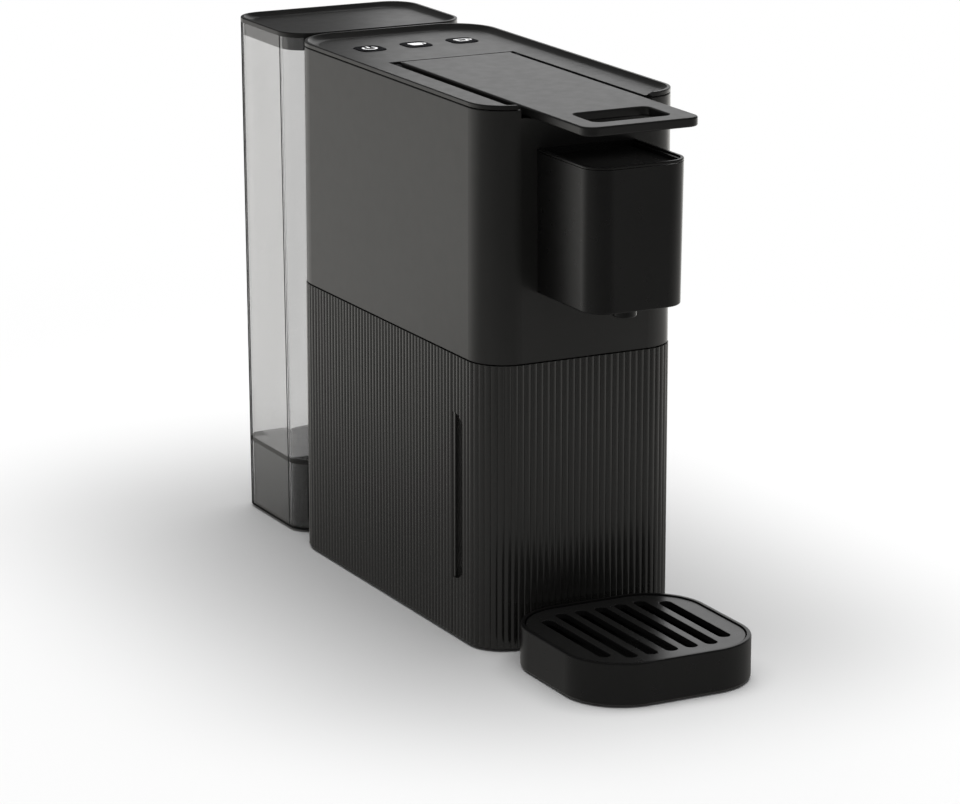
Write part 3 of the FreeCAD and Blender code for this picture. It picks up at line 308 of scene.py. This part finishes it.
def smokedClear(look):
    finish, tree, shader, coords = newFinish("smokedClear")
    flow = grain(tree, stretched(tree, coords, look["flowStretch"]), *look["flow"])
    tree.links.new(shades(tree, flow, look["dark"], look["light"]), shader.inputs["Base Color"])
    patch = grain(tree, coords, *look["patch"])
    tree.links.new(spread(tree, patch, *look["rough"]), shader.inputs["Roughness"])
    shader.inputs["Transmission Weight"].default_value = 1.0
    shader.inputs["IOR"].default_value = look["ior"]
    split, along, reach, corner = tankPlan(tree, coords, look)
    tree.links.new(cornerNormal(tree, reach, corner, look), shader.inputs["Normal"])
    # a dark diffuse that paints the shade onto the corner lines, grazing corners and lower rim
    edgeShadeBsdf = tree.nodes.new("ShaderNodeBsdfDiffuse")
    edgeShadeBsdf.inputs["Color"].default_value = look["edgeShadeTone"]
    dark = paintedEdgeShade(tree, split, along, corner, look)
    edgesShaded = blended(tree, dark, shader.outputs["BSDF"], edgeShadeBsdf.outputs["BSDF"])
    clear = tree.nodes.new("ShaderNodeBsdfTransparent")
    clear.inputs["Color"].default_value = look["shadowTint"]
    path = tree.nodes.new("ShaderNodeLightPath")
    surface = blended(tree, path.outputs["Is Shadow Ray"], edgesShaded, clear.outputs["BSDF"])
    smoke = tree.nodes.new("ShaderNodeVolumeAbsorption")
    smoke.inputs["Color"].default_value = look["smoke"]
    smoke.inputs["Density"].default_value = look["density"]
    output = outputNode(tree)
    tree.links.new(surface, output.inputs["Surface"])
    tree.links.new(smoke.outputs["Volume"], output.inputs["Volume"])
    return finish


# metals: brushed steel and sand-cast aluminium
metalLooks = {
    "steel": {
        "dark": (0.50, 0.50, 0.51), "light": (0.66, 0.66, 0.67), "rough": (0.24, 0.38),
        "stretch": (60, 1800, 1800), "strength": 0.10,
    },
    "cast": {
        "dark": (0.52, 0.52, 0.53), "light": (0.66, 0.66, 0.67), "rough": (0.42, 0.58),
        "stretch": (700, 700, 700), "strength": 0.35,
    },
}
metalNoise = {"lay": (1.0, 4.0, 0.6), "depth": 0.0001}


def metal(name, look):
    finish, tree, shader, coords = newFinish(name)
    lay = grain(tree, stretched(tree, coords, look["stretch"]), *metalNoise["lay"])
    tree.links.new(shades(tree, lay, look["dark"], look["light"]), shader.inputs["Base Color"])
    tree.links.new(spread(tree, lay, *look["rough"]), shader.inputs["Roughness"])
    shader.inputs["Metallic"].default_value = 1.0
    relief(tree, shader, lay, look["strength"], metalNoise["depth"])
    return finish


# soft parts: rubber feet, seals and gland, silicone hoses
softLooks = {
    "rubber": {
        "dark": (0.022, 0.022, 0.022), "light": (0.036, 0.036, 0.036), "rough": (0.70, 0.86),
        "glow": 0.0,
    },
    "hose": {
        "dark": (0.62, 0.61, 0.57), "light": (0.74, 0.73, 0.69), "rough": (0.34, 0.48),
        "glow": 0.25,
    },
}
softNoise = {
    "tone": (60.0, 4.0), "patch": (300.0, 3.0), "skin": (1500.0, 2.0), "strength": 0.15,
    "depth": 0.0001, "glowRadius": (0.004, 0.004, 0.003),
}


def softSkin(name, look):
    finish, tree, shader, coords = newFinish(name)
    tone = grain(tree, coords, *softNoise["tone"])
    tree.links.new(shades(tree, tone, look["dark"], look["light"]), shader.inputs["Base Color"])
    patch = grain(tree, coords, *softNoise["patch"])
    tree.links.new(spread(tree, patch, *look["rough"]), shader.inputs["Roughness"])
    shader.inputs["Subsurface Weight"].default_value = look["glow"]
    shader.inputs["Subsurface Radius"].default_value = softNoise["glowRadius"]
    skin = grain(tree, coords, *softNoise["skin"])
    relief(tree, shader, skin, softNoise["strength"], softNoise["depth"])
    return finish


# green solder mask with copper tracks under it
boardLook = {
    "mask": (0.020, 0.105, 0.045), "maskShade": 0.8, "track": (0.045, 0.20, 0.085), "pitch": 260,
    "trackWidth": 0.10, "turn": (0, 0, 45), "patch": 200.0, "rough": (0.22, 0.36),
    "strength": 0.2, "depth": 0.00008,
}


def solderMask(look):
    finish, tree, shader, coords = newFinish("solderMask")
    tracks = tree.nodes.new("ShaderNodeTexBrick")
    tracks.inputs["Scale"].default_value = look["pitch"]
    tracks.inputs["Mortar Size"].default_value = look["trackWidth"]
    tracks.inputs["Color1"].default_value = (*look["mask"], 1)
    tracks.inputs["Color2"].default_value = (*(look["maskShade"] * c for c in look["mask"]), 1)
    tracks.inputs["Mortar"].default_value = (*look["track"], 1)
    turned = stretched(tree, coords, (1, 1, 1), look["turn"])
    tree.links.new(turned, tracks.inputs["Vector"])
    tree.links.new(tracks.outputs["Color"], shader.inputs["Base Color"])
    patch = grain(tree, coords, look["patch"])
    tree.links.new(spread(tree, patch, *look["rough"]), shader.inputs["Roughness"])
    relief(tree, shader, tracks.outputs["Fac"], look["strength"], look["depth"])
    return finish


# white printed symbol ink
inkLook = {
    "dark": (0.74, 0.74, 0.74), "light": (0.86, 0.86, 0.86), "rough": (0.45, 0.60),
    "tone": (900.0, 3.0), "patch": (1500.0, 2.0), "speck": (4000.0, 2.0), "strength": 0.1,
    "depth": 0.00005,
}


def printedInk(look):
    finish, tree, shader, coords = newFinish("printedInk")
    tone = grain(tree, coords, *look["tone"])
    tree.links.new(shades(tree, tone, look["dark"], look["light"]), shader.inputs["Base Color"])
    patch = grain(tree, coords, *look["patch"])
    tree.links.new(spread(tree, patch, *look["rough"]), shader.inputs["Roughness"])
    speck = grain(tree, coords, *look["speck"])
    relief(tree, shader, speck, look["strength"], look["depth"])
    return finish


finishes = {
    "housing": mouldedPlastic("housingGrain", plasticLooks["housing"]),
    "reeded": mouldedPlastic("reededGrain", plasticLooks["reeded"]),
    "topSkin": mouldedPlastic("topSkin", plasticLooks["topSkin"]),
    "front": mouldedPlastic("frontSatin", plasticLooks["front"]),
    "grille": mouldedPlastic("grilleSatin", plasticLooks["grille"]),
    "pedestal": mouldedPlastic("pedestalMoulding", plasticLooks["pedestal"]),
    "inner": mouldedPlastic("innerMoulding", plasticLooks["inner"]),
    "pump": mouldedPlastic("pumpMoulding", plasticLooks["pump"]),
    "button": buttonPlastic(buttonLook),
    "tank": smokedClear(tankLook),
    "steel": metal("brushedSteel", metalLooks["steel"]),
    "cast": metal("castAluminium", metalLooks["cast"]),
    "rubber": softSkin("rubberSkin", softLooks["rubber"]),
    "hose": softSkin("siliconeHose", softLooks["hose"]),
    "board": solderMask(boardLook),
    "ink": printedInk(inkLook),
}

# which finish each node of the frame wears
wears = {
    "housing": ["upper_shell"],
    "reeded": ["rear_lower_shell", "drawer_front"],
    "topSkin": ["top_cover", "lever", "tank_lid"],
    "grille": ["drip_grille"],
    "front": ["brew_head", "head_cap", "spout", "drip_tray"],
    "pedestal": ["tank_pedestal"],
    "inner": ["base_plate", "lever_well", "brew_frame", "inner_chassis", "capsule_cage",
              "capsule_bin", "coffee_funnel", "flow_meter", "tank_outlet"],
    "pump": ["water_pump"],
    "button": ["power_button", "small_cup_button", "large_cup_button", "button_switches"],
    "tank": ["water_tank"],
    "steel": ["base_screws", "lever_pin", "board_screws", "injection_plate", "drive_pins",
              "outlet_plate", "thermal_cutout"],
    "cast": ["thermoblock"],
    "rubber": ["rubber_feet", "chamber_seal", "pump_mounts", "tank_seal", "cord_gland"],
    "hose": ["suction_hose", "inlet_hose", "pressure_hose", "hot_water_hose"],
    "board": ["control_board", "power_board"],
}
for finishName, nodeNames in wears.items():
    for nodeName in nodeNames:
        mesh = nodes[nodeName].data
        mesh.materials.clear()
        mesh.materials.append(finishes[finishName])
dressed = {n for names in wears.values() for n in names}
print("finishes set on", len(dressed), "nodes; left over:", sorted(set(nodes) - dressed))

# printed symbols on the three buttons, each a thin flat inlay; lengths in metres, the rest shares
iconLook = {
    "stroke": 0.0012, "thick": 0.00012, "sunk": 0.00006, "ringPoints": 72,
    "ringRadius": 0.0039, "gapAngle": 38, "barLength": 0.0040, "barUp": 0.6, "barRound": 0.3,
    "barSegments": 3, "cupWide": 0.0076, "cupTall": 0.0060, "cupTaper": 0.70, "cupRound": 0.0011,
    "cupSegments": 4, "handle": 0.0019, "handleOut": 0.2, "handleUp": 0.06, "handleStroke": 0.7,
    "handleSunk": 0.2, "close": 1e-6,
}


def startIcon(name):
    bpy.ops.object.select_all(action="DESELECT")
    bpy.ops.mesh.primitive_circle_add(vertices=iconLook["ringPoints"], radius=1,
                                      fill_type="NOTHING", location=(0, 0, 0))
    icon = bpy.context.object
    icon.name = name
    bpy.ops.object.mode_set(mode="EDIT")
    bpy.ops.mesh.select_all(action="SELECT")
    bpy.ops.mesh.delete(type="VERT")
    return icon


def addRing(centre, radius, stroke):
    bpy.ops.mesh.select_all(action="DESELECT")
    bpy.ops.mesh.primitive_circle_add(vertices=iconLook["ringPoints"], radius=radius,
                                      fill_type="NOTHING", location=centre)
    bpy.ops.mesh.extrude_edges_move(TRANSFORM_OT_translate={"value": (0, 0, 0)})
    inner = (radius - stroke) / radius
    bpy.ops.transform.resize(value=(inner, inner, 1), center_override=centre)


def addBar(centre, width, length):
    bpy.ops.mesh.select_all(action="DESELECT")
    bpy.ops.mesh.primitive_plane_add(size=1, location=centre)
    bpy.ops.transform.resize(value=(width, length, 1), center_override=centre)
    bpy.ops.mesh.bevel(offset=width * iconLook["barRound"], segments=iconLook["barSegments"],
                       affect="VERTICES")


def pickPoints(icon, test):
    bpy.ops.mesh.select_all(action="DESELECT")
    bpy.ops.object.mode_set(mode="OBJECT")
    for point in icon.data.vertices:
        point.select = test(point.co)
    bpy.ops.object.mode_set(mode="EDIT")


def dropFaces(icon, test):
    bpy.ops.mesh.select_all(action="DESELECT")
    bpy.ops.object.mode_set(mode="OBJECT")
    for face in icon.data.polygons:
        face.select = test(face.center)
    bpy.ops.object.mode_set(mode="EDIT")
    bpy.ops.mesh.select_mode(type="FACE")
    bpy.ops.mesh.delete(type="FACE")
    bpy.ops.mesh.select_mode(type="VERT")


def finishIcon(icon, button):
    low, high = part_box(button)
    bpy.ops.mesh.select_all(action="SELECT")
    rise = {"value": (0, 0, iconLook["thick"])}
    bpy.ops.mesh.extrude_region_move(TRANSFORM_OT_translate=rise)
    bpy.ops.mesh.select_all(action="SELECT")
    bpy.ops.mesh.normals_make_consistent(inside=False)
    place = ((low[0] + high[0]) / 2, (low[1] + high[1]) / 2, high[2] - iconLook["sunk"])
    bpy.ops.transform.translate(value=place)
    bpy.ops.object.mode_set(mode="OBJECT")
    icon.data.materials.append(finishes["ink"])
    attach(icon, button)
    print("symbol", icon.name, len(icon.data.polygons), "faces")


def powerIcon():
    icon = startIcon("power_symbol")
    radius = iconLook["ringRadius"]
    addRing((0, 0, 0), radius, iconLook["stroke"])
    gap = math.radians(iconLook["gapAngle"])
    dropFaces(icon, lambda c: abs(math.atan2(c.x, c.y)) < gap)
    addBar((0, radius * iconLook["barUp"], 0), iconLook["stroke"], iconLook["barLength"])
    finishIcon(icon, "power_button")


def cupIcon(name, button, filled):
    icon = startIcon(name)
    wide, tall, taper = iconLook["cupWide"], iconLook["cupTall"], iconLook["cupTaper"]
    handle, stroke = iconLook["handle"], iconLook["stroke"]

    def rightSide(y):
        return wide / 2 * (1 - (1 - taper) * (0.5 - y / tall))

    # the handle first, so that its faces inside the bowl can go before the bowl is there
    middle = (rightSide(0) + handle * iconLook["handleOut"], tall * iconLook["handleUp"], 0)
    addRing(middle, handle, stroke * iconLook["handleStroke"])
    dropFaces(icon, lambda c: c.x < rightSide(c.y) - stroke * iconLook["handleSunk"])
    bpy.ops.mesh.select_all(action="DESELECT")
    bpy.ops.mesh.primitive_plane_add(size=1, location=(0, 0, 0))
    bpy.ops.transform.resize(value=(wide, tall, 1), center_override=(0, 0, 0))
    pickPoints(icon, lambda c: abs(abs(c.x) - wide / 2) < iconLook["close"] and c.y < 0)
    bpy.ops.transform.resize(value=(taper, 1, 1), center_override=(0, 0, 0))
    bpy.ops.mesh.select_linked()
    bpy.ops.mesh.bevel(offset=iconLook["cupRound"], segments=iconLook["cupSegments"],
                       affect="VERTICES")
    if not filled:
        bpy.ops.mesh.select_linked()
        bpy.ops.mesh.select_mode(type="FACE")
        bpy.ops.mesh.inset(thickness=stroke, depth=0)
        bpy.ops.mesh.delete(type="FACE")
        bpy.ops.mesh.select_mode(type="VERT")
    finishIcon(icon, button)


powerIcon()
cupIcon("small_cup_symbol", "small_cup_button", True)
cupIcon("large_cup_symbol", "large_cup_button", False)

# pale floor: lamp shading with a painted contact shadow close by, plain white further out, and its
# own painted glow for reflections
floorLook = {
    "size": 8.0, "colour": (0.80, 0.80, 0.80, 1), "rough": 0.7, "oval": (1.15, 0.85, 0),
    "nearRadius": 0.15, "farRadius": 0.66,
    "shadeHalf": (0.050, 0.140), "shadeMiddle": 0.045, "shadeNear": 0.74, "shadeReach": 0.20,
    "mirrorBase": 0.33, "mirrorBack": 0.88, "backFrom": 0.0, "backTo": 0.55,
    "mirrorFront": 0.42, "frontFrom": -0.85, "frontTo": -0.30,
    "reflectedShadeNear": 0.75, "mirrorFrom": 0.05, "mirrorReach": 0.40,
    "mirrorRight": 2.0, "rightFrom": 0.10, "rightTo": 0.45, "mirrorTint": (1.0, 0.985, 0.945, 1),
}


# painted contact shadow: the floor's colour is darker close to the body's footprint
def contactShade(tree, coords):
    split = separated(tree, coords)
    along = fixed(tree, "SUBTRACT", split["Y"], floorLook["shadeMiddle"])
    gaps = []
    for place, half in zip((split["X"], along), floorLook["shadeHalf"]):
        outside = fixed(tree, "SUBTRACT", fixed(tree, "ABSOLUTE", place), half)
        gaps.append(fixed(tree, "POWER", fixed(tree, "MAXIMUM", outside, 0.0), 2.0))
    apart = fixed(tree, "SQRT", joined(tree, "ADD", *gaps))
    shade = ranged(tree, apart, 0.0, floorLook["shadeReach"], floorLook["shadeNear"], 1.0)
    tone = tree.nodes.new("ShaderNodeMix")
    tone.data_type = "RGBA"
    tone.inputs["A"].default_value = (0, 0, 0, 1)
    tone.inputs["B"].default_value = floorLook["colour"]
    tree.links.new(shade, tone.inputs["Factor"])
    return tone.outputs["Result"]


# painted reflection: for reflected rays the floor glows, brighter to the back and right, dimmer in
# front, and darker close by as painted shadow
def mirroredFloor(tree, coords, distance):
    look = floorLook
    split = separated(tree, coords)
    back = ranged(tree, split["Y"], look["backFrom"], look["backTo"],
                  look["mirrorBase"], look["mirrorBack"])
    ahead = ranged(tree, split["Y"], look["frontFrom"], look["frontTo"], look["mirrorFront"], 1.0)
    near = ranged(tree, distance, look["mirrorFrom"], look["mirrorReach"], look["reflectedShadeNear"], 1.0)
    right = ranged(tree, split["X"], look["rightFrom"], look["rightTo"], 1.0, look["mirrorRight"])
    strength = joined(tree, "MULTIPLY", joined(tree, "MULTIPLY", back, ahead),
                      joined(tree, "MULTIPLY", near, right))
    mirror = tree.nodes.new("ShaderNodeEmission")
    mirror.inputs["Color"].default_value = look["mirrorTint"]
    tree.links.new(strength, mirror.inputs["Strength"])
    return mirror.outputs["Emission"]


def paleFloor():
    bpy.ops.object.select_all(action="DESELECT")
    bpy.ops.mesh.primitive_plane_add(size=floorLook["size"], location=(0, 0, 0))
    floor = bpy.context.object
    floor.name = "studio_floor"
    finish, tree, shader, coords = newFinish("paleFloor")
    tree.links.new(contactShade(tree, coords), shader.inputs["Base Color"])
    shader.inputs["Roughness"].default_value = floorLook["rough"]
    shader.inputs["Specular IOR Level"].default_value = 0.0
    oval = stretched(tree, coords, floorLook["oval"])
    distance = vectorMath(tree, "LENGTH", oval).outputs["Value"]
    path = tree.nodes.new("ShaderNodeLightPath").outputs
    seen = joined(tree, "MAXIMUM", path["Is Camera Ray"], path["Is Transmission Ray"])
    outer = ranged(tree, distance, floorLook["nearRadius"], floorLook["farRadius"])
    white = tree.nodes.new("ShaderNodeEmission")
    white.inputs["Color"].default_value = (1, 1, 1, 1)
    direct = blended(tree, joined(tree, "MULTIPLY", seen, outer), shader.outputs["BSDF"],
                     white.outputs["Emission"])
    # a ray that the rough tank wall bends counts as both kinds, and sees the floor itself
    reflected = joined(tree, "GREATER_THAN", path["Is Glossy Ray"], path["Is Transmission Ray"])
    surface = blended(tree, reflected, direct, mirroredFloor(tree, coords, distance))
    tree.links.new(surface, outputNode(tree).inputs["Surface"])
    floor.data.materials.append(finish)


paleFloor()
print("floor laid")

# studio: white to the camera, dim and even in reflections, darker overhead,
# and through the tank white behind and dark in front
worldLook = {
    "diffuse": 0.27, "mirrorFront": 0.12, "mirrorBack": 0.14, "backFrom": -0.35, "backTo": 0.45,
    "mirrorTop": 0.3, "topFrom": 0.30, "topTo": 0.70, "throughFront": 0.05, "throughTo": 0.5,
}


def backdrop(tree, strength=1.0):
    node = tree.nodes.new("ShaderNodeBackground")
    node.inputs["Color"].default_value = (1, 1, 1, 1)
    node.inputs["Strength"].default_value = strength
    return node


def studioWorld():
    look = worldLook
    world = bpy.data.worlds.new("studio")
    bpy.context.scene.world = world
    world.use_nodes = True
    tree = world.node_tree
    tree.nodes.clear()
    split = separated(tree, tree.nodes.new("ShaderNodeTexCoord").outputs["Generated"])
    plain, soft, through, white = [backdrop(tree, s) for s in (look["diffuse"], 1.0, 1.0, 1.0)]
    behind = ranged(tree, split["Y"], look["backFrom"], look["backTo"],
                    look["mirrorFront"], look["mirrorBack"])
    low = ranged(tree, split["Z"], look["topFrom"], look["topTo"], 1.0, look["mirrorTop"])
    tree.links.new(joined(tree, "MULTIPLY", behind, low), soft.inputs["Strength"])
    rear = ranged(tree, split["Y"], 0.0, look["throughTo"], look["throughFront"], 1.0)
    tree.links.new(rear, through.inputs["Strength"])
    path = tree.nodes.new("ShaderNodeLightPath").outputs
    whole = plain.outputs["Background"]
    for ray, shown in (("Is Glossy Ray", soft), ("Is Transmission Ray", through),
                       ("Is Camera Ray", white)):
        whole = blended(tree, path[ray], whole, shown.outputs["Background"])
    output = tree.nodes.new("ShaderNodeOutputWorld")
    tree.links.new(whole, output.inputs["Surface"])


studioWorld()

# one large key overhead, and a card to the right and behind that the top surfaces mirror
lamps = {
    "keySoftbox": {
        "at": (0.10, 0.08, 1.6), "to": (0, 0, 0.0), "size": (1.8, 1.8), "watts": 37,
        "mirrored": False,
    },
    "backCard": {
        "at": (0.82, 0.75, 0.40), "to": (0.46, -0.6, 0.3), "size": (0.95, 0.62), "watts": 1.40,
        "mirrored": True,
    },
}


def hangLamps():
    for name, lamp in lamps.items():
        light = bpy.data.lights.new(name, "AREA")
        light.shape = "RECTANGLE"
        light.size, light.size_y = lamp["size"]
        light.energy = lamp["watts"]
        holder = bpy.data.objects.new(name, light)
        bpy.context.collection.objects.link(holder)
        holder.location = lamp["at"]
        away = holder.location - Vector(lamp["to"])
        holder.rotation_euler = away.to_track_quat("Z", "Y").to_euler()
        holder.visible_glossy = lamp["mirrored"]
        holder.visible_transmission = False
        holder.visible_camera = False


hangLamps()

# the photograph's own view
cameraLook = {
    "at": (-0.86997, -1.66862, 0.59798), "turn": (74.97, 0.0, -27.39), "lens": 152.126,
    "sensor": 36.0, "clip": (0.05, 50),
}


def setCamera():
    data = bpy.data.cameras.new("photoView")
    data.sensor_fit = "HORIZONTAL"
    data.sensor_width = cameraLook["sensor"]
    data.lens = cameraLook["lens"]
    data.clip_start, data.clip_end = cameraLook["clip"]
    camera = bpy.data.objects.new("photoView", data)
    bpy.context.collection.objects.link(camera)
    camera.location = cameraLook["at"]
    camera.rotation_euler = [math.radians(a) for a in cameraLook["turn"]]
    bpy.context.scene.camera = camera


setCamera()
bpy.context.scene.view_settings.view_transform = "Standard"
print("lights and camera set")
